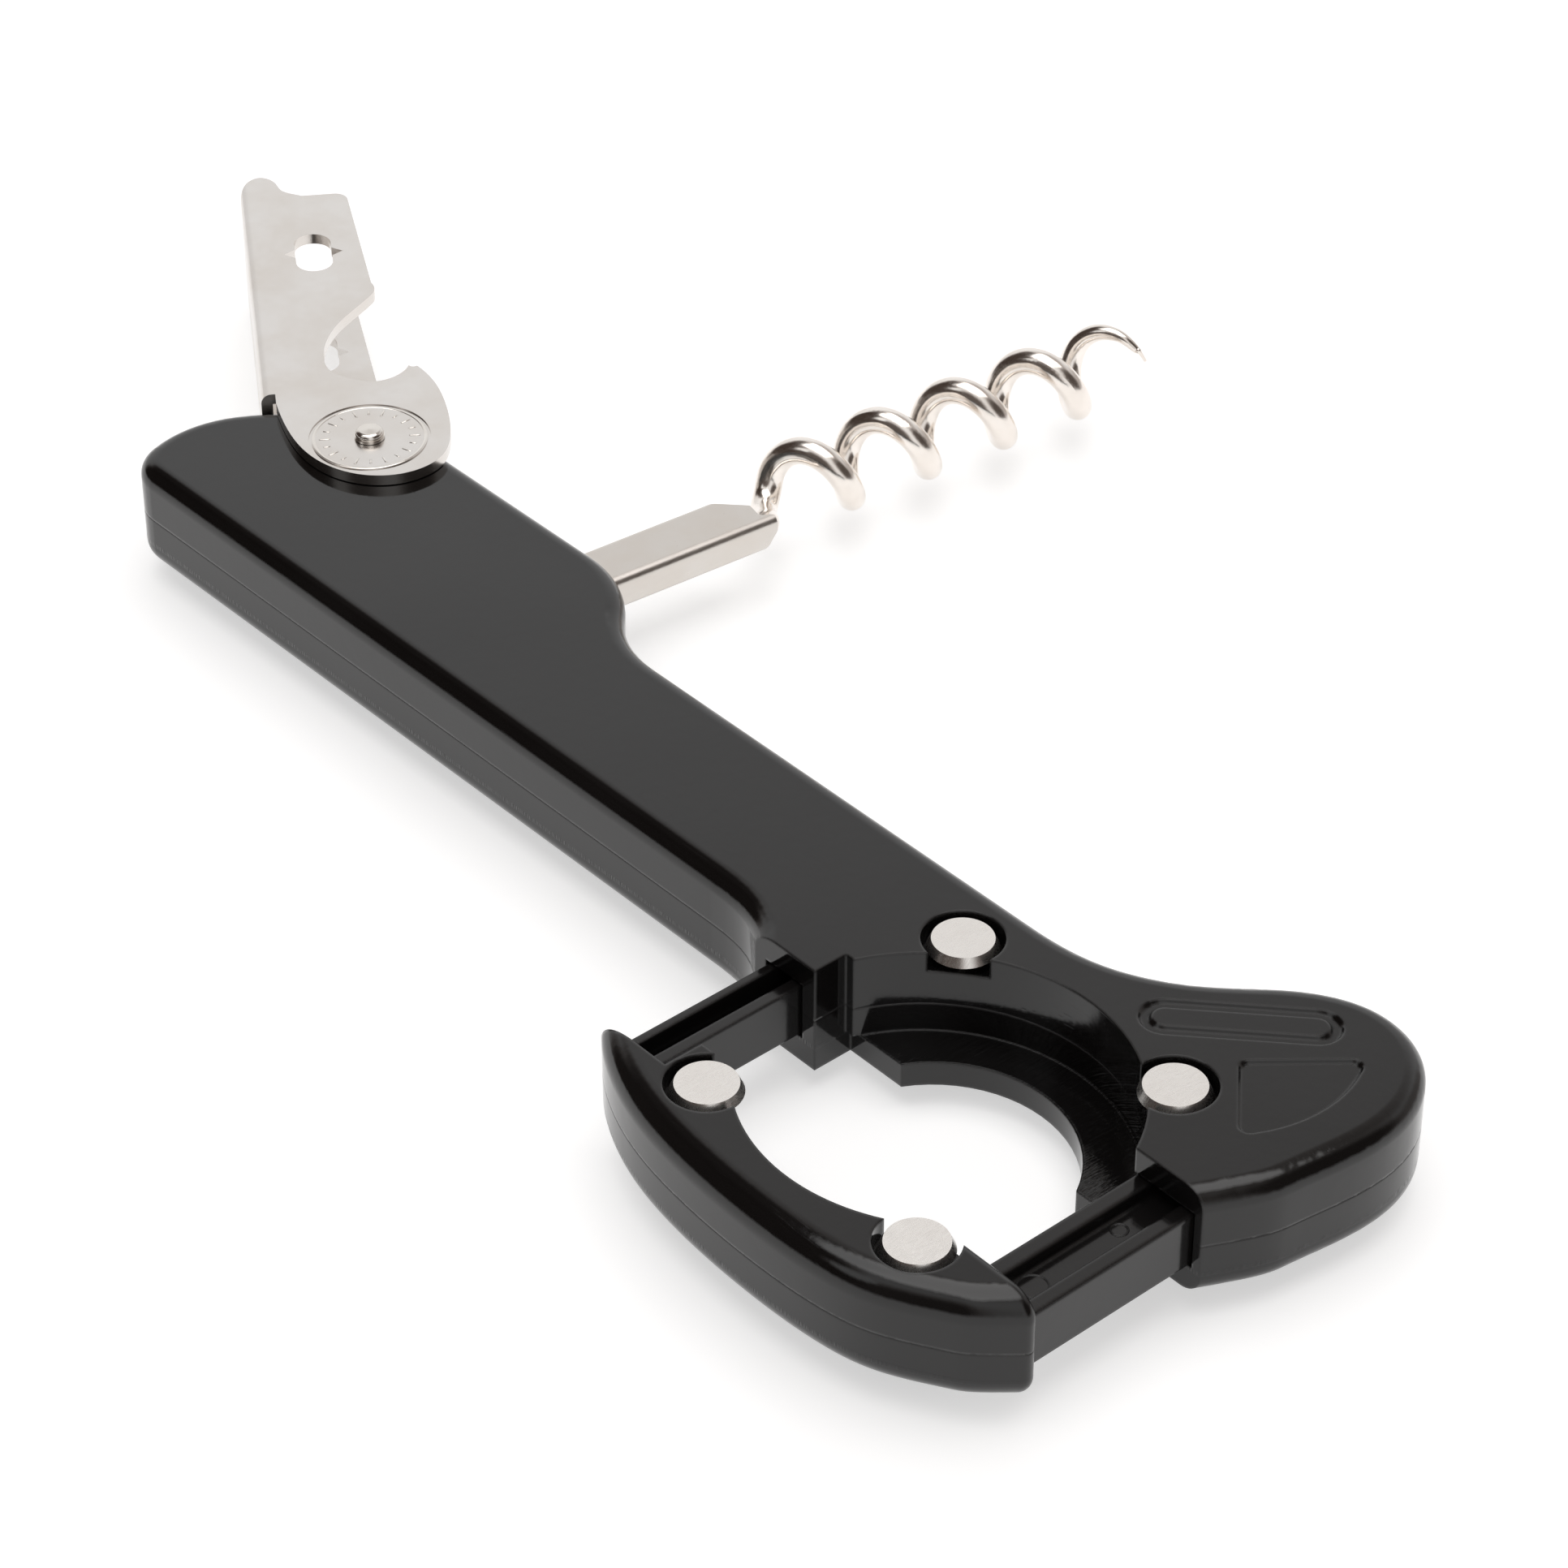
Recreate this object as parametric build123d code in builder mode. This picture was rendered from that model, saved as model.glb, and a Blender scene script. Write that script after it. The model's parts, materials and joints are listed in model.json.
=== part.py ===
"""Waiters corkscrew: two-part moulded handle with a sliding four-wheel foil cutter,
a folded sheet lever and a folding worm. Millimetres, +Z up, tool lying on its side."""
from build123d import *
from math import cos, sin, pi, radians
import os

os.makedirs("parts", exist_ok=True)

# shared datum: everything below is measured from the axis of foil wheel 1, z = 0 is the
# underside of the handle, and the datum is placed so the whole tool is centred on the origin
DATUM = (49.598, -22.542, 2.20)

# handle
THICK = 10.7            # handle and jaw thickness
MID = THICK / 2         # parting plane of the moulded halves
EDGE_R = 1.8            # rounding of the outer edges
NEAR_Y = -10.2          # outer wall on the jaw side
FAR_Y = 6.2             # outer wall on the worm side
WIDE_Y = 13.3           # outer wall of the wide pivot end
LEDGE = 2.4             # thickness of the bottle-rim stop
POCKET_R = 17.7         # radius of the neck pocket
POCKET_C = (12.5, -15.6)
STOP_R = 11.9           # radius of the opening in the rim stop
STOP_C = (12.0, -13.9)
STOP_Y = -8.2           # flat faces of the rim stop
END_Y = -7.8            # end face of the head
NOTCH_Y = -12.25        # end face beside the left rail

# foil wheels
WHEELS = ((0.0, 0.0), (25.0, 0.0), (0.0, -28.1), (25.0, -28.1))
WHEEL_TOP_R = 2.7
WHEEL_EDGE_R = 3.1
SEAT_R = 3.6
SEAT_DEPTH = 2.0
STEM_R = 1.0
STEM_FIT = 0.05
COLLAR_R = 1.5

# jaw and rails
JAW_POCKET_C = (12.5, -13.0)
JAW_LEDGE_Y = -24.7
JAW_END_Y = -25.3
JAW_TAB_Y = -29.2
JAW_EDGE_R = 2.4        # rounding of the jaw's outer edges
JAW_CORNER_R = 0.8      # upright corner of the jaw beside the right rail
RAIL_Z = (2.8, 8.0)
RAIL_L = (-10.7, -6.6)
RAIL_R = (28.4, 34.9)
RAIL_FIT = 0.25
RAIL_L_TIP = -11.2
RAIL_R_TIP = -2.3

# lever
LEVER_AT = (-92.1, 8.3)
LEVER_DIR = 146.8       # open angle from +X
SHEET = 1.1             # lever sheet thickness
LEVER_GAP = 0.1
FOLD_R = 1.0
SPINE_OUT = 9.9         # spine distance from the pivot line
RIVET_R = 0.95
HEAD_R = 1.35
WASHER_T = 0.25

# worm
WORM_AT = (-67.06, 9.8)
WORM_DIR = 84.3         # open angle from +X
SHANK_T = 3.5
SHANK_SHEET = 0.35
SHANK_V = (-3.2, 2.9)
PIN_R = 1.2
PIN_H = 8.4
WIRE_R = 1.35
HELIX_R = 3.1
HELIX_V = 2.5           # helix axis offset from the pivot line
PITCH = 9.3
TIP_U = 70.95           # tip distance from the pivot
PHASE_U = 71.3          # distance at which the helix passes closest to the shank line


def level(z):
    return Plane(origin=(DATUM[0], DATUM[1], DATUM[2] + z))


def pt(x, y, z):
    return (DATUM[0] + x, DATUM[1] + y, DATUM[2] + z)


def turned(at, angle, z):
    a = radians(angle)
    return Plane(origin=pt(at[0], at[1], z), x_dir=(cos(a), sin(a), 0), z_dir=(0, 0, 1))


def handle_outline():
    """Outer wall of the handle, run past the jaw side where the pocket is cut later."""
    with BuildSketch() as face:
        with BuildLine():
            l1 = Line((-20.5, NEAR_Y), (-102.5, NEAR_Y))
            e1 = JernArc(l1 @ 1, (-1, 0), 4.5, -70)
            e2 = JernArc(e1 @ 1, e1 % 1, 12.0, -48)
            last_r = (WIDE_Y - (e2 @ 1).Y) / (1 - cos(radians(62)))
            e3 = JernArc(e2 @ 1, e2 % 1, last_r, -62)
            l3 = Line(e3 @ 1, (-64.5, WIDE_Y))
            l4 = TangentArc(l3 @ 1, (-55.8, (WIDE_Y + FAR_Y) / 2), tangent=(1, 0))
            l5 = TangentArc((-47.1, FAR_Y), l4 @ 1, tangent=(-1, 0))
            l6 = Line((-47.1, FAR_Y), (2.0, FAR_Y))
            l7 = Spline(l6 @ 1, (10.4, 7.4), (16.9, 11.3), (22.6, 16.8), (28.6, 19.7),
                        (34.8, 18.5), (38.8, 13.8), (39.9, 6.9), (39.0, 0.1), (36.0, END_Y),
                        tangents=[(1, 0), (-0.52, -1)])
            l8 = Line(l7 @ 1, (30.8, -18.0))
            l9 = Line(l8 @ 1, (-8.3, -18.0))
            l10 = Line(l9 @ 1, (-10.4, -14.5))
            Spline(l10 @ 1, (-13.8, -11.4), l1 @ 0, tangents=[(-0.6, 1), (-1, 0)])
        make_face()
    return face.sketch_local


def handle_relief():
    """Neck pocket, rail faces and everything on the jaw side of them."""
    with BuildSketch() as face:
        with BuildLine():
            Line((-30.0, NOTCH_Y), (-4.8, NOTCH_Y))
            Line((-4.8, NOTCH_Y), (-4.8, -8.8))
            Line((-4.8, -8.8), (-3.84, -8.8))
            ThreePointArc((-3.84, -8.8), (12.5, POCKET_C[1] + POCKET_R), (28.40, END_Y))
            Line((28.40, END_Y), (45.0, END_Y))
            Line((45.0, END_Y), (45.0, -30.0))
            Line((45.0, -30.0), (-30.0, -30.0))
            Line((-30.0, -30.0), (-30.0, NOTCH_Y))
        make_face()
    return face.sketch_local


def stop_relief():
    """The same region at the level of the rim stop, where only the round opening is cut."""
    half = (STOP_R ** 2 - (STOP_Y - STOP_C[1]) ** 2) ** 0.5
    with BuildSketch() as face:
        with BuildLine():
            Line((-30.0, NOTCH_Y), (-4.8, NOTCH_Y))
            Line((-4.8, NOTCH_Y), (-4.8, STOP_Y))
            Line((-4.8, STOP_Y), (STOP_C[0] - half, STOP_Y))
            ThreePointArc((STOP_C[0] - half, STOP_Y), (STOP_C[0], STOP_C[1] + STOP_R),
                          (STOP_C[0] + half, STOP_Y))
            Line((STOP_C[0] + half, STOP_Y), (28.0, STOP_Y))
            Line((28.0, STOP_Y), (28.0, END_Y))
            Line((28.0, END_Y), (45.0, END_Y))
            Line((45.0, END_Y), (45.0, -30.0))
            Line((45.0, -30.0), (-30.0, -30.0))
            Line((-30.0, -30.0), (-30.0, NOTCH_Y))
        make_face()
    return face.sketch_local


def shank_slot():
    """Plan of the gap that the worm shank swings in."""
    px, py = WORM_AT
    with BuildSketch() as face:
        with Locations((px, py)):
            Circle(3.5)
        with Locations((px + 13.0, py + 6.0)):
            Rectangle(33.0, 12.0)
        with Locations((px + 14.75, py)):
            Rectangle(29.5, 7.0)
    return face.sketch_local


def rail_sockets():
    """Plan of the two sockets that the jaw rails slide in."""
    with BuildSketch() as face:
        for span, mouth, depth in ((RAIL_L, NOTCH_Y, 5.3), (RAIL_R, END_Y, 14.6)):
            with Locations(((span[0] + span[1]) / 2, (mouth + depth) / 2 - 1.0)):
                Rectangle(span[1] - span[0] + 2 * RAIL_FIT, depth - mouth + 2.0)
    return face.sketch_local


def jaw_outline():
    """Outer wall of the crescent jaw, run past its end faces."""
    with BuildSketch() as face:
        with BuildLine():
            l1 = Line((-15.2, -26.4), (-12.4, -28.9))
            l2 = Spline(l1 @ 1, (-8.9, -31.3), (-3.2, -33.6), (4.7, -35.0), (13.0, -35.4),
                        (20.8, -35.0), (26.4, -33.6), (31.1, -31.0), (36.8, -25.3),
                        tangents=[(2.8, -2.5), (1, 1.2)])
            l3 = Line(l2 @ 1, (39.3, -22.3))
            l4 = Line(l3 @ 1, (39.3, -20.0))
            l5 = Line(l4 @ 1, (-15.2, -20.0))
            Line(l5 @ 1, l1 @ 0)
        make_face()
    return face.sketch_local


def jaw_relief():
    """Neck pocket and end faces of the jaw."""
    half = (POCKET_R ** 2 - (JAW_END_Y - JAW_POCKET_C[1]) ** 2) ** 0.5
    with BuildSketch() as face:
        with BuildLine():
            Line((-30.0, JAW_TAB_Y), (-3.9, JAW_TAB_Y))
            Line((-3.9, JAW_TAB_Y), (-3.9, JAW_END_Y))
            Line((-3.9, JAW_END_Y), (JAW_POCKET_C[0] - half, JAW_END_Y))
            ThreePointArc((JAW_POCKET_C[0] - half, JAW_END_Y),
                          (JAW_POCKET_C[0], JAW_POCKET_C[1] - POCKET_R),
                          (JAW_POCKET_C[0] + half, JAW_END_Y))
            Line((JAW_POCKET_C[0] + half, JAW_END_Y), (45.0, JAW_END_Y))
            Line((45.0, JAW_END_Y), (45.0, -15.0))
            Line((45.0, -15.0), (-30.0, -15.0))
            Line((-30.0, -15.0), (-30.0, JAW_TAB_Y))
        make_face()
    return face.sketch_local


def jaw_ledge_relief():
    """End faces of the jaw at the level of its rim stop."""
    corners = [(-30.0, JAW_TAB_Y), (-3.9, JAW_TAB_Y), (-3.9, JAW_END_Y), (-0.4, JAW_END_Y),
               (-0.4, JAW_LEDGE_Y), (25.3, JAW_LEDGE_Y), (25.3, JAW_END_Y),
               (45.0, JAW_END_Y), (45.0, -15.0), (-30.0, -15.0)]
    with BuildSketch() as face:
        with BuildLine():
            Polyline(*corners, close=True)
        make_face()
    return face.sketch_local


# ---------------------------------------------------------------- handle, upper half
with BuildPart() as handle_upper:
    with BuildSketch(level(MID)):
        add(handle_outline())
    extrude(amount=THICK - MID)
    rim = handle_upper.faces().sort_by(Axis.Z)[-1].edges()
    fillet(rim.filter_by(lambda e: e.center().Y > DATUM[1] - 13.0), EDGE_R)
    with BuildSketch(level(MID)):
        add(handle_relief())
    extrude(amount=THICK, mode=Mode.SUBTRACT)
    with BuildSketch(level(THICK - SEAT_DEPTH)):
        with Locations(*WHEELS[:2]):
            Circle(SEAT_R)
    extrude(amount=THICK, mode=Mode.SUBTRACT)
    with BuildSketch(level(MID)):
        with Locations(*WHEELS[:2]):
            Circle(STEM_R + STEM_FIT)
        with Locations(LEVER_AT):
            Circle(RIVET_R)
    extrude(amount=THICK, mode=Mode.SUBTRACT)
    with BuildSketch(level(MID)):
        with Locations(*WHEELS[:2]):
            Circle(COLLAR_R + 0.1)
    extrude(amount=0.6, mode=Mode.SUBTRACT)
    with BuildSketch(level(MID)):
        add(shank_slot())
    extrude(amount=SHANK_T / 2 + 0.3, mode=Mode.SUBTRACT)
    with BuildSketch(level(MID)):
        with Locations(WORM_AT):
            Circle(PIN_R)
    extrude(amount=PIN_H / 2, mode=Mode.SUBTRACT)
    with BuildSketch(level(MID)):
        add(rail_sockets())
    extrude(amount=RAIL_Z[1] + RAIL_FIT - MID, mode=Mode.SUBTRACT)
    with BuildSketch(level(THICK - 0.35)):
        with Locations(Location((22.9, 9.6), 42.5)):
            SlotOverall(16.3, 4.0)
            SlotOverall(15.1, 2.8, mode=Mode.SUBTRACT)
    extrude(amount=0.36, taper=-40, mode=Mode.SUBTRACT)
    with BuildSketch(level(THICK - 0.35)) as thumb:
        with BuildLine():
            a = Line((26.5, 6.0), (32.9, 13.5))
            b = ThreePointArc(a @ 1, (34.7, 6.4), (32.5, -0.2))
            Line(b @ 1, a @ 0)
        make_face()
        fillet(thumb.vertices(), 0.7)
    extrude(amount=0.36, taper=-40, mode=Mode.SUBTRACT)
handle_upper.part.label = "handle_upper"
export_step(handle_upper.part, "parts/handle_upper.step")

# ---------------------------------------------------------------- handle, lower half
with BuildPart() as handle_lower:
    with BuildSketch(level(0)):
        add(handle_outline())
    extrude(amount=MID)
    rim = handle_lower.faces().sort_by(Axis.Z)[0].edges()
    fillet(rim.filter_by(lambda e: e.center().Y > DATUM[1] - 13.0), EDGE_R)
    with BuildSketch(level(LEDGE)):
        add(handle_relief())
    extrude(amount=THICK, mode=Mode.SUBTRACT)
    with BuildSketch(level(-1)):
        add(stop_relief())
    extrude(amount=LEDGE + 1.01, mode=Mode.SUBTRACT)
    with BuildSketch(level(MID - 0.6)):
        with Locations(*WHEELS[:2]):
            Circle(COLLAR_R + 0.1)
    extrude(amount=0.6, mode=Mode.SUBTRACT)
    with BuildSketch(level(MID - SHANK_T / 2 - 0.3)):
        add(shank_slot())
    extrude(amount=SHANK_T, mode=Mode.SUBTRACT)
    with BuildSketch(level(MID - PIN_H / 2)):
        with Locations(WORM_AT):
            Circle(PIN_R)
    extrude(amount=PIN_H, mode=Mode.SUBTRACT)
    with BuildSketch(level(-1)):
        with Locations(LEVER_AT):
            Circle(RIVET_R)
    extrude(amount=THICK, mode=Mode.SUBTRACT)
    with BuildSketch(level(RAIL_Z[0] - RAIL_FIT)):
        add(rail_sockets())
    extrude(amount=THICK, mode=Mode.SUBTRACT)
handle_lower.part.label = "handle_lower"
export_step(handle_lower.part, "parts/handle_lower.step")

# ---------------------------------------------------------------- sliding jaw
with BuildPart() as jaw_upper:
    with BuildSketch(level(MID)):
        add(jaw_outline())
    extrude(amount=THICK - MID)
    rim = jaw_upper.faces().sort_by(Axis.Z)[-1].edges()
    fillet(rim.filter_by(lambda e: e.center().Y < DATUM[1] - 23.2 and
                         e.center().X > DATUM[0] - 15.0), JAW_EDGE_R)
    with BuildSketch(level(MID)):
        add(jaw_relief())
    extrude(amount=THICK, mode=Mode.SUBTRACT)
    with BuildSketch(level(THICK - SEAT_DEPTH)):
        with Locations(*WHEELS[2:]):
            Circle(SEAT_R)
    extrude(amount=THICK, mode=Mode.SUBTRACT)
    with BuildSketch(level(MID)):
        with Locations(*WHEELS[2:]):
            Circle(STEM_R + STEM_FIT)
    extrude(amount=THICK, mode=Mode.SUBTRACT)
    with BuildSketch(level(MID)):
        with Locations(*WHEELS[2:]):
            Circle(COLLAR_R + 0.1)
    extrude(amount=0.6, mode=Mode.SUBTRACT)
    corner = jaw_upper.edges().filter_by(Axis.Z).sort_by(Axis.X)[-1]
    fillet(corner, JAW_CORNER_R)
jaw_upper.part.label = "jaw_upper"
export_step(jaw_upper.part, "parts/jaw_upper.step")

with BuildPart() as jaw_lower:
    with BuildSketch(level(0)):
        add(jaw_outline())
    extrude(amount=MID)
    rim = jaw_lower.faces().sort_by(Axis.Z)[0].edges()
    fillet(rim.filter_by(lambda e: e.center().Y < DATUM[1] - 23.2 and
                         e.center().X > DATUM[0] - 15.0), JAW_EDGE_R)
    with BuildSketch(level(LEDGE)):
        add(jaw_relief())
    extrude(amount=THICK, mode=Mode.SUBTRACT)
    with BuildSketch(level(-1)):
        add(jaw_ledge_relief())
    extrude(amount=LEDGE + 1.01, mode=Mode.SUBTRACT)
    with BuildSketch(level(MID - 0.6)):
        with Locations(*WHEELS[2:]):
            Circle(COLLAR_R + 0.1)
    extrude(amount=0.6, mode=Mode.SUBTRACT)
    corner = jaw_lower.edges().filter_by(Axis.Z).sort_by(Axis.X)[-1]
    fillet(corner, JAW_CORNER_R)
jaw_lower.part.label = "jaw_lower"
export_step(jaw_lower.part, "parts/jaw_lower.step")

# channel-section rails, moulded against the end faces of the jaw
with BuildPart() as rail_left:
    with BuildSketch(Plane(origin=pt(0, RAIL_L_TIP, 0), x_dir=(1, 0, 0), z_dir=(0, -1, 0))):
        with Locations(((RAIL_L[0] + RAIL_L[1]) / 2, sum(RAIL_Z) / 2)):
            Rectangle(RAIL_L[1] - RAIL_L[0], RAIL_Z[1] - RAIL_Z[0])
        with Locations((RAIL_L[0] + 1.85, RAIL_Z[1])):
            Rectangle(1.9, 7.2, mode=Mode.SUBTRACT)
    extrude(amount=RAIL_L_TIP - JAW_TAB_Y)
    fillet(rail_left.edges().filter_by(Axis.Y), 0.2)
rail_left.part.label = "rail_left"
export_step(rail_left.part, "parts/rail_left.step")

with BuildPart() as rail_right:
    with BuildSketch(Plane(origin=pt(0, RAIL_R_TIP, 0), x_dir=(1, 0, 0), z_dir=(0, -1, 0))):
        with Locations(((RAIL_R[0] + RAIL_R[1]) / 2, sum(RAIL_Z) / 2)):
            Rectangle(RAIL_R[1] - RAIL_R[0], RAIL_Z[1] - RAIL_Z[0])
        with Locations((RAIL_R[0] + 3.3, RAIL_Z[1])):
            Rectangle(3.2, 2.6, mode=Mode.SUBTRACT)
    extrude(amount=RAIL_R_TIP - JAW_END_Y)
    fillet(rail_right.edges().filter_by(Axis.Y).filter_by(
        lambda e: e.center().Z > DATUM[2] + 5.5), 0.3)
rail_right.part.label = "rail_right"
export_step(rail_right.part, "parts/rail_right.step")

# ---------------------------------------------------------------- foil wheels
for n, (wx, wy) in enumerate(WHEELS, start=1):
    with BuildPart() as disc:
        with BuildSketch(Plane(origin=pt(wx, wy, 0), x_dir=(1, 0, 0), z_dir=(0, -1, 0))):
            with BuildLine():
                Polyline((0, THICK), (WHEEL_TOP_R, THICK), (WHEEL_EDGE_R, THICK - 0.85),
                         (WHEEL_TOP_R - 0.2, THICK - 1.15), (1.4, THICK - 1.3),
                         (STEM_R, THICK - 1.3), (STEM_R, THICK - 0.6), (0, THICK - 0.6),
                         close=True)
            make_face()
        revolve(axis=Axis(pt(wx, wy, 0), (0, 0, 1)))
    disc.part.label = f"foil_wheel_{n}"
    export_step(disc.part, f"parts/foil_wheel_{n}.step")
    with BuildPart() as stem:
        with BuildSketch(level(MID - 0.5)):
            with Locations((wx, wy)):
                Circle(STEM_R)
        extrude(amount=THICK - 0.6 - MID + 0.5)
        with BuildSketch(level(MID - 0.5)):
            with Locations((wx, wy)):
                Circle(COLLAR_R)
        extrude(amount=1.0)
    stem.part.label = f"wheel_stem_{n}"
    export_step(stem.part, f"parts/wheel_stem_{n}.step")

# ---------------------------------------------------------------- lever
lever_top = turned(LEVER_AT, LEVER_DIR, THICK + LEVER_GAP)
lever_low = turned(LEVER_AT, LEVER_DIR, -LEVER_GAP - SHEET)
with BuildPart() as lever:
    with BuildSketch(lever_top, lever_low):
        with BuildLine():
            back = Line((8.9, SPINE_OUT), (46.6, SPINE_OUT))
            tip = Spline(back @ 1, (49.8, 9.25), (50.9, 7.8), (49.8, 6.3), (47.7, 5.4),
                         (46.7, 3.8), (46.6, 2.4), tangents=[(1, 0), (0, -1)])
            end = Line(tip @ 1, (46.6, 0.4))
            corner = RadiusArc(end @ 1, (45.3, -1.0), 1.35)
            edge = Line(corner @ 1, (28.4, -2.2))
            lip = ThreePointArc(edge @ 1, (27.4, -2.45), (26.4, -2.25))
            hook = Spline(lip @ 1, (23.7, -0.3), (21.2, 1.5), (18.4, 2.8), (15.4, 3.4),
                          (12.4, 2.9), (10.6, 0.9), (9.9, -1.3), (10.6, -3.3), (12.4, -4.7))
            spike = RadiusArc(hook @ 1, (12.2, -5.5), -0.5)
            round_end = Spline(spike @ 1, (9.6, -6.75), (4.8, -7.7), (0.0, -7.75),
                               (-4.4, -6.4), (-6.7, -2.6), (-6.2, 1.6), (-3.4, 5.1),
                               (1.4, 7.4), (7.2, 8.5))
            notch = Line(round_end @ 1, (8.9, 8.5))
            Line(notch @ 1, back @ 0)
        make_face()
        Circle(RIVET_R + 0.05, mode=Mode.SUBTRACT)
        with Locations((35.05, 3.15)):
            SlotOverall(7.3, 3.7, mode=Mode.SUBTRACT)
            Polygon((0, 2.95), (-2.1, 0), (0, -2.95), (2.1, 0), mode=Mode.SUBTRACT)
    extrude(amount=SHEET)
    with BuildSketch(lever_low):
        with Locations(((8.9 + 46.6) / 2, SPINE_OUT - SHEET / 2)):
            Rectangle(46.6 - 8.9, SHEET)
    extrude(amount=THICK + 2 * LEVER_GAP + 2 * SHEET)
    across = Plane(origin=pt(*LEVER_AT, 0), x_dir=lever_top.y_dir, z_dir=lever_top.x_dir)
    with BuildSketch(across):
        for z, side in ((THICK + LEVER_GAP + SHEET, -1), (-LEVER_GAP - SHEET, 1)):
            with Locations((SPINE_OUT - FOLD_R / 2 + 0.5, z + side * (FOLD_R / 2 - 0.5))):
                Rectangle(FOLD_R + 1.0, FOLD_R + 1.0)
            with Locations((SPINE_OUT - FOLD_R, z + side * FOLD_R)):
                Circle(FOLD_R, mode=Mode.SUBTRACT)
    extrude(amount=60.0, mode=Mode.SUBTRACT)
    with BuildSketch(turned(LEVER_AT, LEVER_DIR, THICK + LEVER_GAP + SHEET - 0.12)):
        Circle(5.85)
        Circle(5.55, mode=Mode.SUBTRACT)
    extrude(amount=1.0, mode=Mode.SUBTRACT)
lever.part.label = "lever"
export_step(lever.part, "parts/lever.step")

with BuildPart() as lever_rivet:
    top = THICK + LEVER_GAP + SHEET + WASHER_T + 0.05
    with BuildSketch(Plane(origin=pt(*LEVER_AT, 0), x_dir=(1, 0, 0), z_dir=(0, -1, 0))):
        with BuildLine():
            Line((0, THICK - top), (RIVET_R, THICK - top))
            Line((RIVET_R, THICK - top), (RIVET_R, top))
            Line((RIVET_R, top), (HEAD_R, top))
            ThreePointArc((HEAD_R, top), (HEAD_R - 0.05, top + 0.4), (HEAD_R - 0.5, top + 0.62))
            Line((HEAD_R - 0.5, top + 0.62), (0, top + 0.7))
            Line((0, top + 0.7), (0, THICK - top))
        make_face()
        with BuildLine():
            Line((0, THICK - top), (HEAD_R, THICK - top))
            ThreePointArc((HEAD_R, THICK - top), (HEAD_R - 0.05, THICK - top - 0.4),
                          (HEAD_R - 0.5, THICK - top - 0.62))
            Line((HEAD_R - 0.5, THICK - top - 0.62), (0, THICK - top - 0.7))
            Line((0, THICK - top - 0.7), (0, THICK - top))
        make_face()
    revolve(axis=Axis(pt(*LEVER_AT, 0), (0, 0, 1)))
lever_rivet.part.label = "lever_rivet"
export_step(lever_rivet.part, "parts/lever_rivet.step")

for name, z in (("washer_top", top - WASHER_T), ("washer_bottom", THICK - top)):
    with BuildPart() as washer:
        with BuildSketch(level(z)):
            with Locations(LEVER_AT):
                Circle(HEAD_R + 0.1)
                Circle(RIVET_R, mode=Mode.SUBTRACT)
        extrude(amount=WASHER_T)
    washer.part.label = name
    export_step(washer.part, f"parts/{name}.step")

# ---------------------------------------------------------------- worm
with BuildPart() as worm_pin:
    with BuildSketch(level(MID - PIN_H / 2)):
        with Locations(WORM_AT):
            Circle(PIN_R)
    extrude(amount=PIN_H)
worm_pin.part.label = "worm_pin"
export_step(worm_pin.part, "parts/worm_pin.step")

low, high = SHANK_V
with BuildPart() as worm_shank:
    with BuildSketch(turned(WORM_AT, WORM_DIR, MID - SHANK_T / 2)):
        with BuildLine():
            s1 = Line((0, low), (23.9, low))
            s2 = Line(s1 @ 1, (23.9, low + 0.6))
            s3 = Line(s2 @ 1, (22.7, low + 1.3))
            s4 = Line(s3 @ 1, (22.9, 0))
            s5 = Line(s4 @ 1, (19.5, high))
            s6 = Line(s5 @ 1, (0, high))
            ThreePointArc(s6 @ 1, ((low - high) / 2, (low + high) / 2), s1 @ 0)
        make_face()
        Circle(PIN_R + STEM_FIT, mode=Mode.SUBTRACT)
    extrude(amount=SHANK_T)
    axis_v = turned(WORM_AT, WORM_DIR, 0).y_dir
    spine = worm_shank.edges().filter_by(GeomType.LINE).filter_by(
        lambda e: e.length > 20 and (e.center() - Vector(*pt(*WORM_AT, 0))).dot(axis_v) < low + 0.1)
    fillet(spine, 0.8)
    with BuildSketch(turned(WORM_AT, WORM_DIR, MID - SHANK_T / 2 + SHANK_SHEET)):
        with Locations((10, low + SHANK_SHEET + 5)):
            Rectangle(40, 10)
    extrude(amount=SHANK_T - 2 * SHANK_SHEET, mode=Mode.SUBTRACT)
    with BuildSketch(turned(WORM_AT, WORM_DIR, MID - SHANK_T / 2 - 1)):
        with Locations((26.0, low + 5.5)):
            Rectangle(10, 10)
    extrude(amount=1 + SHANK_SHEET, mode=Mode.SUBTRACT)
    swing = turned(WORM_AT, WORM_DIR, MID)
    with BuildSketch(Plane(origin=swing.origin, x_dir=swing.x_dir, z_dir=-swing.y_dir)):
        with BuildLine():
            Polyline((22.3, -2.0), (24.4, -2.0), (24.4, 0.9), close=True)
        make_face()
    extrude(amount=6, both=True, mode=Mode.SUBTRACT)
worm_shank.part.label = "worm_shank"
export_step(worm_shank.part, "parts/worm_shank.step")

# wire: straight root held in the shank, then a right-handed helix that tapers to a point
frame = turned(WORM_AT, WORM_DIR, MID)


def helix_point(u):
    t = pi + 2 * pi * (u - PHASE_U) / PITCH
    return frame.from_local_coords(Vector(u, HELIX_V + HELIX_R * cos(t), HELIX_R * sin(t)))


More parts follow.
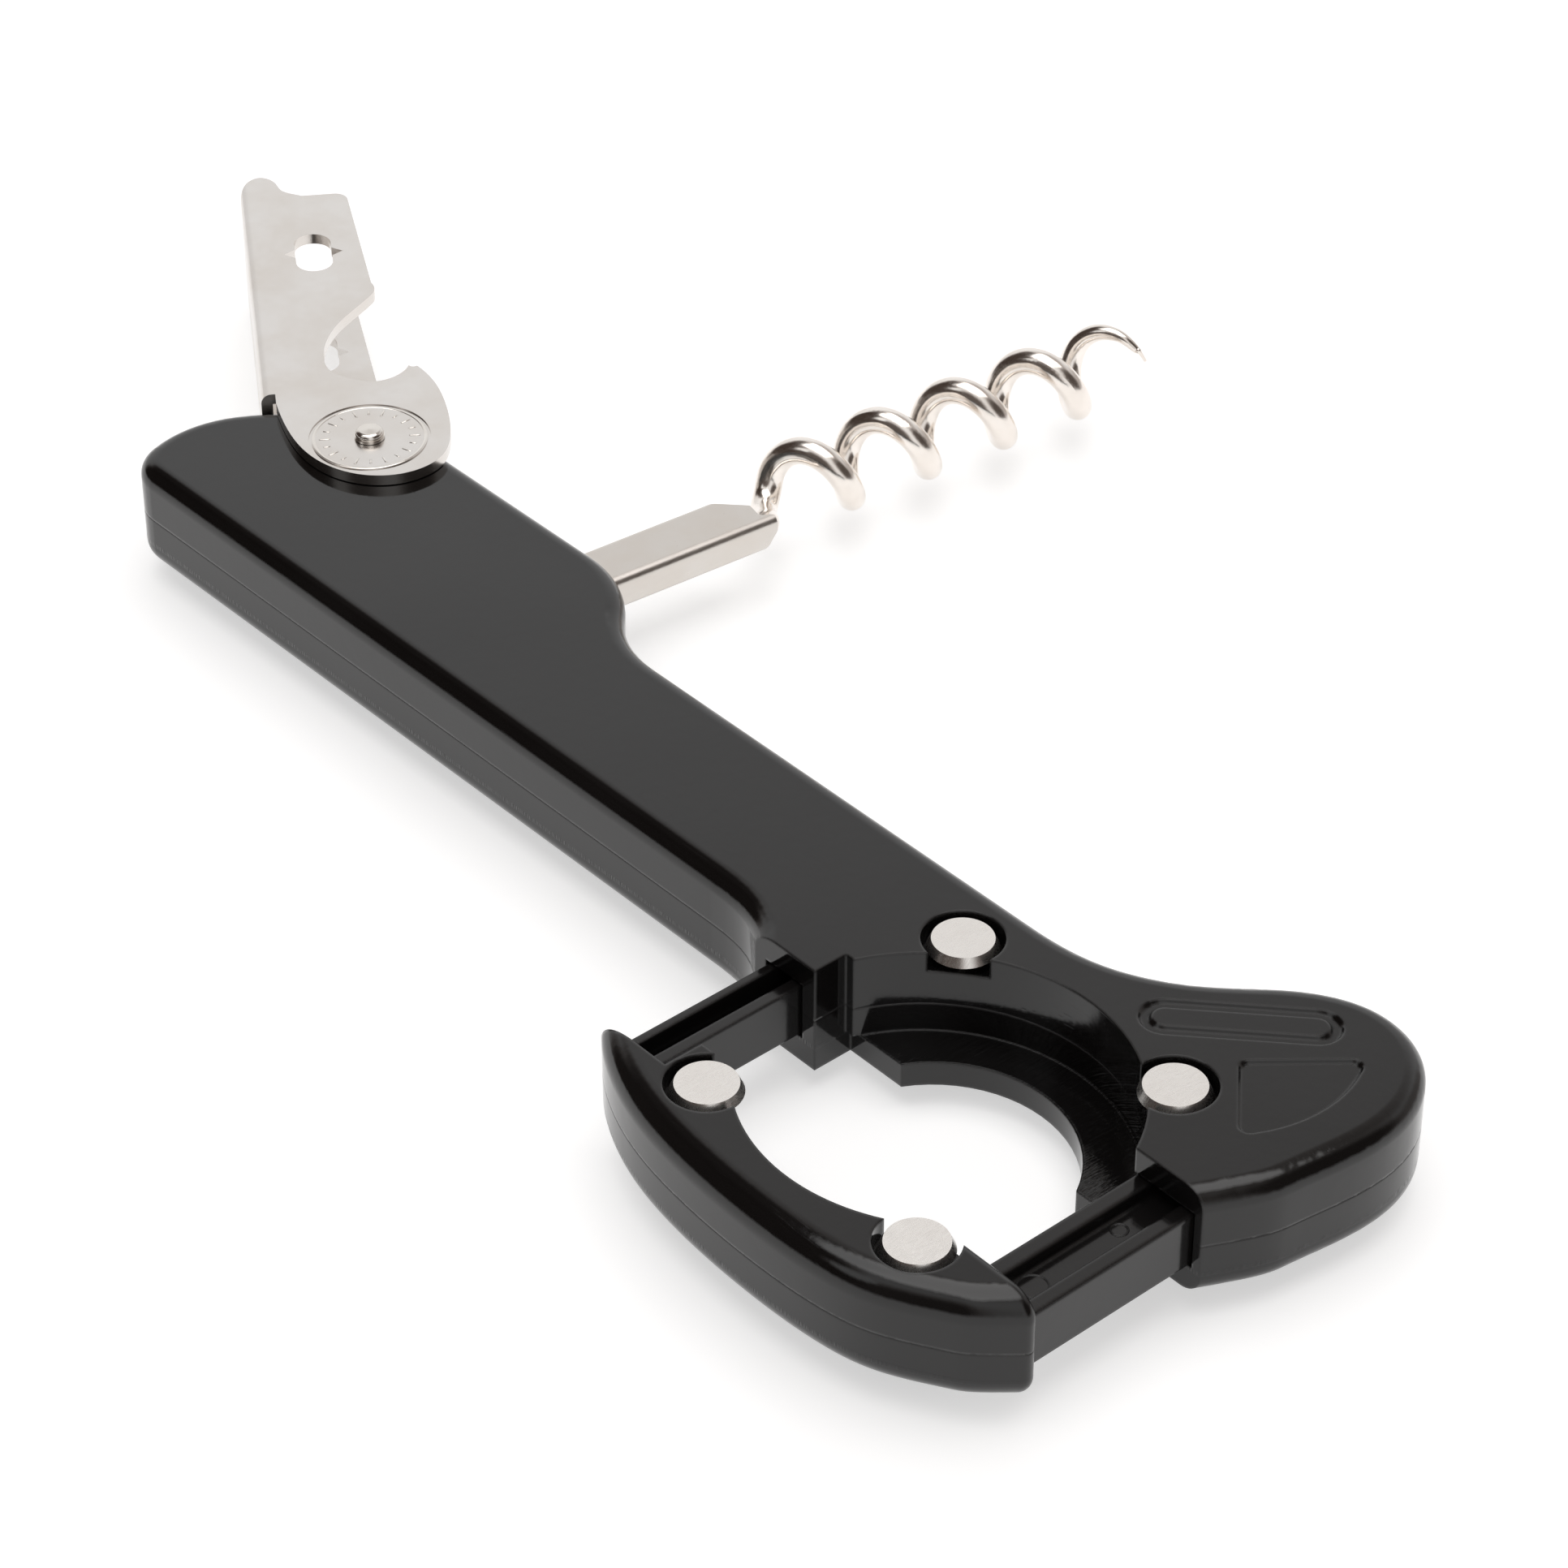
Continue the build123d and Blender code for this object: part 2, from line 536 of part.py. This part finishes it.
root_v = low + SHANK_SHEET + WIRE_R + 0.03
start = PHASE_U - 4.5 * PITCH - 0.85
taper = TIP_U - 7.6
steps = int((taper - start) / PITCH * 12)
with BuildPart() as worm_wire:
    with BuildLine() as path:
        bend = [frame.from_local_coords(Vector(*p)) for p in
                [(u, root_v, 0) for u in (8.0, 11.0, 14.0, 17.0, 19.5, 21.4)] +
                [(24.3, -0.4, -0.8), (26.0, 2.0, -2.1), (27.3, 3.9, -2.5)]]
        Spline(*bend, *[helix_point(start + (taper - start) * k / steps)
                        for k in range(steps + 1)])
    with BuildSketch(Plane(origin=path.line @ 0, z_dir=path.line % 0)):
        Circle(WIRE_R)
    sweep()
    with BuildLine() as point:
        Spline(*[helix_point(taper + (TIP_U - taper) * k / 12) for k in range(13)],
               tangents=[path.line % 1, helix_point(TIP_U) - helix_point(TIP_U - 0.05)])
    with BuildSketch(Plane(origin=point.line @ 0, z_dir=point.line % 0)):
        Circle(WIRE_R)
    with BuildSketch(Plane(origin=point.line @ 0.5, z_dir=point.line % 0.5)):
        Circle(WIRE_R * 0.78)
    with BuildSketch(Plane(origin=point.line @ 1, z_dir=point.line % 1)):
        Circle(0.15)
    sweep(multisection=True)
worm_wire.part.label = "worm_wire"
export_step(worm_wire.part, "parts/worm_wire.step")
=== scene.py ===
import bpy, bmesh, json, math
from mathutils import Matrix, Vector


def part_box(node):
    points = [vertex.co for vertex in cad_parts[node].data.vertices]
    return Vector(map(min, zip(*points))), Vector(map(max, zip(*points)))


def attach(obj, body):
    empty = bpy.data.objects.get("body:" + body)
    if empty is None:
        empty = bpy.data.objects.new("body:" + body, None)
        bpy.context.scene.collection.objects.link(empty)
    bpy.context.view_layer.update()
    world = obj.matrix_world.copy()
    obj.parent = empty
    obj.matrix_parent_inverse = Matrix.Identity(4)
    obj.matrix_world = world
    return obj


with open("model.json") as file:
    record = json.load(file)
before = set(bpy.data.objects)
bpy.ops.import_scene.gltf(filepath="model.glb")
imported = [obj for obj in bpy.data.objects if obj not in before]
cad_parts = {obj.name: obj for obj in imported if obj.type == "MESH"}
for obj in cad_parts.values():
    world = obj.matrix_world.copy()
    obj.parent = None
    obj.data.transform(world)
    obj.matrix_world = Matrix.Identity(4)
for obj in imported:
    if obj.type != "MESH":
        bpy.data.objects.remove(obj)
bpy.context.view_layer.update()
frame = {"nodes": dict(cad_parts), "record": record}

nodes = frame["nodes"]

# the datum the CAD is drawn from (axis of foil wheel 1, underside of the handle), read back
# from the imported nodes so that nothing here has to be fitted
w_lo, w_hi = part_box("foil_wheel_1")
DX, DY = (w_lo[0] + w_hi[0]) / 2, (w_lo[1] + w_hi[1]) / 2
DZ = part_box("handle_lower")[0][2]

# sizes in metres, except where a comment says millimetres
THICK = 0.0107                  # handle thickness
STOP_BELOW = 0.00295            # rim stop's upper face, below the parting plane
LEVER_AT = (-92.1, 8.3)         # lever pivot, millimetres from the datum
LEVER_TOP = 11.9                # upper face of the lever's round end, millimetres


def at(x, y, z):
    """Millimetres from the CAD datum to metres in the row frame."""
    return Vector((DX + x / 1000, DY + y / 1000, DZ + z / 1000))


# ------------------------------------------------------------------ materials
class Mat:
    """A small helper round a node tree."""

    def __init__(self, name):
        self.m = bpy.data.materials.new(name)
        self.m.use_nodes = True
        self.t = self.m.node_tree
        self.b = self.t.nodes["Principled BSDF"]
        self.co = self.t.nodes.new("ShaderNodeTexCoord").outputs["Object"]

    def set(self, **kw):
        for k, v in kw.items():
            self.b.inputs[k.replace("_", " ")].default_value = v

    def node(self, kind, **inputs):
        n = self.t.nodes.new(kind)
        for k, v in inputs.items():
            k = k.replace("_", " ")
            if hasattr(v, "is_linked"):
                self.t.links.new(v, n.inputs[k])
            else:
                n.inputs[k].default_value = v
        return n

    def link(self, a, b):
        self.t.links.new(a, b)

    def scaled(self, sx, sy, sz, rot=0.0):
        n = self.t.nodes.new("ShaderNodeMapping")
        n.inputs["Scale"].default_value = (sx, sy, sz)
        n.inputs["Rotation"].default_value = (0, 0, rot)
        self.link(self.co, n.inputs["Vector"])
        return n.outputs["Vector"]

    def noise(self, vec, scale, detail=3.0, rough=0.5):
        n = self.node("ShaderNodeTexNoise", Scale=scale, Detail=detail, Roughness=rough)
        self.link(vec, n.inputs["Vector"])
        return n.outputs["Fac"]

    def ramp(self, fac, stops):
        n = self.t.nodes.new("ShaderNodeValToRGB")
        r = n.color_ramp
        while len(r.elements) < len(stops):
            r.elements.new(0.5)
        for e, (p, c) in zip(r.elements, stops):
            e.position = p
            e.color = (c, c, c, 1) if isinstance(c, (int, float)) else (*c, 1)
        self.link(fac, n.inputs["Fac"])
        return n.outputs["Color"]

    def math(self, op, a, b=None, clamp=False):
        n = self.t.nodes.new("ShaderNodeMath")
        n.operation = op
        n.use_clamp = clamp
        for i, v in enumerate((a, b)):
            if v is None:
                continue
            if hasattr(v, "is_linked"):
                self.link(v, n.inputs[i])
            else:
                n.inputs[i].default_value = v
        return n.outputs[0]

    def near(self, value, level, reach):
        """1 where value is within reach of level, 0 elsewhere."""
        return self.math("LESS_THAN", self.math("ABSOLUTE", self.math("SUBTRACT", value, level)), reach)

    def bump(self, height, strength, dist, normal=None):
        n = self.node("ShaderNodeBump", Strength=strength, Distance=dist)
        self.link(height, n.inputs["Height"])
        if normal:
            self.link(normal, n.inputs["Normal"])
        return n.outputs["Normal"]


def plastic(name, base, rough, parting=None):
    """Gloss black moulding: faint waviness and hairline scratches. With parting, the height of
    the parting plane, it also gets the mould's parting line and the rim stop's ground marks."""
    m = Mat(name)
    m.set(IOR=1.5, Specular_IOR_Level=0.5)
    cloud = m.noise(m.co, 60.0, 4.0)
    fine = m.noise(m.co, 900.0, 2.0)
    darker, lighter = (tuple(c * k for c in base) for k in (0.8, 1.25))
    m.link(m.ramp(cloud, [(0.3, darker), (0.7, lighter)]), m.b.inputs["Base Color"])
    along = m.noise(m.scaled(260, 7000, 5000), 1.0, 2.0)
    scratch = m.ramp(along, [(0.62, 0.0), (0.70, 1.0)])
    r = m.math("ADD", m.math("MULTIPLY", cloud, 0.05), rough - 0.03)
    r = m.math("ADD", r, m.math("MULTIPLY", scratch, 0.08))
    r = m.math("ADD", r, m.math("MULTIPLY", fine, 0.04), clamp=True)
    m.link(r, m.b.inputs["Roughness"])
    soft = m.node("ShaderNodeBevel", Radius=0.00035)
    soft.samples = 4
    n1 = m.bump(m.noise(m.co, 35.0, 1.0), 0.12, 0.0012, soft.outputs["Normal"])
    n2 = m.bump(fine, 0.05, 0.0001, n1)
    n3 = m.bump(scratch, 0.03, 0.00005, n2)
    if parting:
        xyz = m.t.nodes.new("ShaderNodeSeparateXYZ")
        m.link(m.co, xyz.inputs[0])
        n3 = m.bump(m.near(xyz.outputs["Z"], parting, 0.00005), 0.25, 0.00008, n3)
        on_stop = m.near(xyz.outputs["Z"], parting - STOP_BELOW, 0.0002)
        lines = m.noise(m.scaled(6500, 500, 500, rot=0.15), 1.0, 2.0)
        n3 = m.bump(m.math("MULTIPLY", lines, on_stop), 0.5, 0.00015, n3)
    m.link(n3, m.b.inputs["Normal"])
    return m.m


def nickel(name, base, rough, grain=(4000, 4000, 4000), grain_amount=0.12, wave=0.1, wave_scale=180.0,
           tint=(0.62, 0.55, 0.48)):
    """Bright plate or bare steel: softly rippled, with fine grain and darker clouds of tint."""
    m = Mat(name)
    m.set(Metallic=1.0)
    cloud = m.noise(m.co, 140.0, 4.0, 0.6)
    grainy = m.noise(m.scaled(*grain), 1.0, 3.0)
    mix = m.node("ShaderNodeMix")
    mix.data_type = "RGBA"
    m.link(m.ramp(cloud, [(0.35, 0.0), (0.8, 0.45)]), mix.inputs["Factor"])
    mix.inputs["A"].default_value = (*base, 1)
    mix.inputs["B"].default_value = (*tint, 1)
    m.link(mix.outputs["Result"], m.b.inputs["Base Color"])
    r = m.math("ADD", m.math("MULTIPLY", grainy, grain_amount), rough - grain_amount / 2)
    r = m.math("ADD", r, m.math("MULTIPLY", cloud, 0.08), clamp=True)
    m.link(r, m.b.inputs["Roughness"])
    n1 = m.bump(m.noise(m.co, wave_scale, 2.0), wave, 0.0004)
    m.link(m.bump(grainy, 0.06, 0.00004, n1), m.b.inputs["Normal"])
    return m.m


black = plastic("handle_black", (0.0045, 0.0042, 0.0042), 0.07, DZ + THICK / 2)
rail_black = plastic("rail_black", (0.006, 0.0055, 0.0055), 0.12)
sheet_nickel = nickel("sheet_nickel", (0.75, 0.725, 0.70), 0.20, grain_amount=0.05, wave=0.10,
                      wave_scale=70.0)
rivet_nickel = nickel("rivet_nickel", (0.80, 0.77, 0.73), 0.14)
shank_nickel = nickel("shank_nickel", (0.68, 0.65, 0.615), 0.28, grain=(9000, 900, 4000),
                      grain_amount=0.2)
wire_nickel = nickel("wire_nickel", (0.92, 0.87, 0.82), 0.16, wave=0.25, wave_scale=260.0)
wheel_steel = nickel("wheel_steel", (0.86, 0.84, 0.81), 0.24, grain=(9000, 900, 2000), grain_amount=0.22,
                     tint=(0.74, 0.70, 0.66))

FINISH = {"handle_plastic": black, "rail_plastic": rail_black, "lever_nickel": sheet_nickel,
          "rivet_nickel": rivet_nickel, "shank_nickel": shank_nickel, "worm_nickel": wire_nickel,
          "wheel_steel": wheel_steel}
slot_of = {s["node"]: s["material_slot"] for s in frame["record"]["subparts"]}
for name, obj in nodes.items():
    mat = FINISH[slot_of[name]]
    if obj.material_slots:
        for s in obj.material_slots:
            s.material = mat
    else:
        obj.data.materials.append(mat)


# ------------------------------------------------------------------ small added pieces
def piece(name, build, mat, body):
    """A mesh piece from a bmesh builder, riding on a CAD body."""
    me = bpy.data.meshes.new(name)
    b = bmesh.new()
    build(b)
    bmesh.ops.recalc_face_normals(b, faces=b.faces)
    for f in b.faces:
        f.smooth = True
    b.to_mesh(me)
    b.free()
    me.materials.append(mat)
    o = bpy.data.objects.new(name, me)
    bpy.context.scene.collection.objects.link(o)
    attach(o, body)


def bar(b, centre, angle, length, width, height):
    """A low ridge with sloping ends and sides, lying flat."""
    u = Vector((math.cos(angle), math.sin(angle), 0))
    v = Vector((-math.sin(angle), math.cos(angle), 0))
    corners = ((-1, -1), (1, -1), (1, 1), (-1, 1))
    rings = []
    for f, z in ((1.0, 0.0), (0.72, 0.75), (0.40, 1.0)):
        along, across = u * (length * (0.5 + 0.5 * f) / 2), v * (width * f / 2)
        up = Vector((0, 0, z * height))
        rings.append([b.verts.new(centre + along * i + across * j + up) for i, j in corners])
    for lo, hi in zip(rings, rings[1:]):
        for k in range(4):
            b.faces.new((lo[k], lo[(k + 1) % 4], hi[(k + 1) % 4], hi[k]))
    b.faces.new(rings[-1])
    b.faces.new(rings[0][::-1])


def tube_ring(b, centre, radius, thick, height, steps=72, section=6):
    """A raised ring with a rounded crown."""
    crown = [math.pi * k / section for k in range(section + 1)]
    profile = [(radius + thick / 2 * math.cos(c), height * math.sin(c)) for c in crown]
    loops = []
    for i in range(steps):
        a = 2 * math.pi * i / steps
        out = Vector((math.cos(a), math.sin(a), 0))
        loops.append([b.verts.new(centre + out * r + Vector((0, 0, z))) for r, z in profile])
    for i in range(steps):
        p, q = loops[i], loops[(i + 1) % steps]
        for k in range(section):
            b.faces.new((p[k], q[k], q[k + 1], p[k + 1]))


MARKS = 20
MARK_R = 0.0043                 # radius of the circle that the marks stand on


def medallion(b):
    """A plain ring of struck marks, short and long by turns, inside a raised ring."""
    pivot = at(*LEVER_AT, LEVER_TOP - 0.01)
    for k in range(MARKS):
        a = 2 * math.pi * k / MARKS
        c = pivot + Vector((math.cos(a) * MARK_R, math.sin(a) * MARK_R, 0))
        bar(b, c, a, 0.0011 if k % 2 else 0.0007, 0.00022, 0.00006)
    tube_ring(b, pivot, 0.00535, 0.00035, 0.00005)


piece("lever_medallion", medallion, rivet_nickel, "lever")


def mould_marks(b):
    """Pin marks left by the mould in the right rail's channel: a small ring and a larger one."""
    tube_ring(b, at(31.35, -12.3, 6.69), 0.0007, 0.00022, 0.00012, steps=40)
    tube_ring(b, at(31.55, -21.9, 6.69), 0.0013, 0.0002, 0.00010, steps=48)


piece("rail_mould_marks", mould_marks, rail_black, "jaw")

# ------------------------------------------------------------------ stage, light, camera
FLOOR_SIZE = 3.0                # grid half side
FLOOR_DROP = 0.0002             # below the part, so that the two don't share a plane
floor_mesh = bpy.data.meshes.new("floor")
bm = bmesh.new()
bmesh.ops.create_grid(bm, x_segments=1, y_segments=1, size=FLOOR_SIZE)
bm.to_mesh(floor_mesh)
bm.free()
floor = bpy.data.objects.new("floor", floor_mesh)
bpy.context.scene.collection.objects.link(floor)
floor.location = (0, 0, -FLOOR_DROP)
fm = Mat("floor_white")
fm.set(Roughness=0.9)
fm.link(fm.ramp(fm.noise(fm.co, 30.0), [(0.3, 0.60), (0.7, 0.62)]), fm.b.inputs["Base Color"])
fm.set(Emission_Color=(1, 1, 1, 1), Emission_Strength=0.55)
floor_mesh.materials.append(fm.m)

bpy.context.scene.view_settings.view_transform = "Standard"

# light tent, all by direction: an even pale surround, dimmed in the DARK patches and lit
# again in the BRIGHT ones. A patch is a direction, the angles in degrees where it is full and
# where it ends, and how much it takes away or adds
world = bpy.data.worlds.new("studio")
bpy.context.scene.world = world
world.use_nodes = True
wt = world.node_tree
bg = wt.nodes["Background"]
direction = wt.nodes.new("ShaderNodeTexCoord").outputs["Generated"]


def wmath(op, a, b):
    n = wt.nodes.new("ShaderNodeMath")
    n.operation = op
    for i, v in enumerate((a, b)):
        if hasattr(v, "is_linked"):
            wt.links.new(v, n.inputs[i])
        else:
            n.inputs[i].default_value = v
    return n.outputs[0]


def patch(d, inner, outer):
    """1 within inner degrees of direction d, fading to 0 at outer degrees."""
    dot = wt.nodes.new("ShaderNodeVectorMath")
    dot.operation = "DOT_PRODUCT"
    wt.links.new(direction, dot.inputs[0])
    dot.inputs[1].default_value = Vector(d).normalized()
    r = wt.nodes.new("ShaderNodeMapRange")
    r.interpolation_type = "SMOOTHSTEP"
    wt.links.new(dot.outputs["Value"], r.inputs["Value"])
    r.inputs["From Min"].default_value = math.cos(math.radians(outer))
    r.inputs["From Max"].default_value = math.cos(math.radians(inner))
    return r.outputs["Result"]


SURROUND = 0.86
DARK = (((-0.62, -0.62, 0.28), 30, 44, 0.985),
        ((-0.60, -0.15, 0.78), 14, 26, 0.95),
        ((0.25, -0.95, 0.20), 20, 42, 0.93),
        ((0.85, 0.35, 0.40), 20, 40, 0.95),
        ((0.0, 0.25, 1.0), 8, 52, 0.62),
        ((0.3, 0.9, 0.1), 10, 30, 0.5))
BRIGHT = (((-0.20, -0.80, 0.60), 3, 12, 1.6),
          ((-0.75, 0.55, 0.45), 5, 30, 0.10))
light = SURROUND
for d, inner, outer, amount in DARK:
    kept = wmath("SUBTRACT", 1.0, wmath("MULTIPLY", patch(d, inner, outer), amount))
    light = wmath("MULTIPLY", light, kept)
for d, inner, outer, amount in BRIGHT:
    light = wmath("ADD", light, wmath("MULTIPLY", patch(d, inner, outer), amount))
# darker parts of the tent are warmer
tone = wt.nodes.new("ShaderNodeValToRGB")
tone.color_ramp.elements[0].color = (0.035, 0.022, 0.016, 1)
tone.color_ramp.elements[1].color = (1.0, 1.0, 1.0, 1)
mid = tone.color_ramp.elements.new(0.4)
mid.color = (0.42, 0.38, 0.36, 1)
wt.links.new(light, tone.inputs["Fac"])
wt.links.new(tone.outputs["Color"], bg.inputs["Color"])
bg.inputs["Strength"].default_value = 1.0

lamp = bpy.data.lights.new("overhead", "AREA")
lamp.size = 1.2
lamp.energy = 9.0
lamp.specular_factor = 0.0
overhead = bpy.data.objects.new("overhead", lamp)
overhead.location = (0.0, 0.0, 1.2)
bpy.context.scene.collection.objects.link(overhead)

# camera solved from the photograph: azimuth, elevation, distance in metres from the point
# aimed at, and focal length in pixels of the full-size picture
AZ, EL = math.radians(48.756), math.radians(36.984)
DIST, F_PX, IMAGE_PX = 0.43918, 5981.2, 1932
SENSOR = 36.0
target = at(-36.53, 12.17, 0.0)
back = Vector((math.sin(AZ) * math.cos(EL), -math.cos(AZ) * math.cos(EL), math.sin(EL)))
cam_data = bpy.data.cameras.new("camera")
cam_data.sensor_width = SENSOR
cam_data.lens = F_PX / IMAGE_PX * SENSOR
cam_data.clip_start = 0.01
cam = bpy.data.objects.new("camera", cam_data)
cam.location = target + back * DIST
cam.rotation_euler = (-back).to_track_quat("-Z", "Y").to_euler()
bpy.context.scene.collection.objects.link(cam)
bpy.context.scene.camera = cam
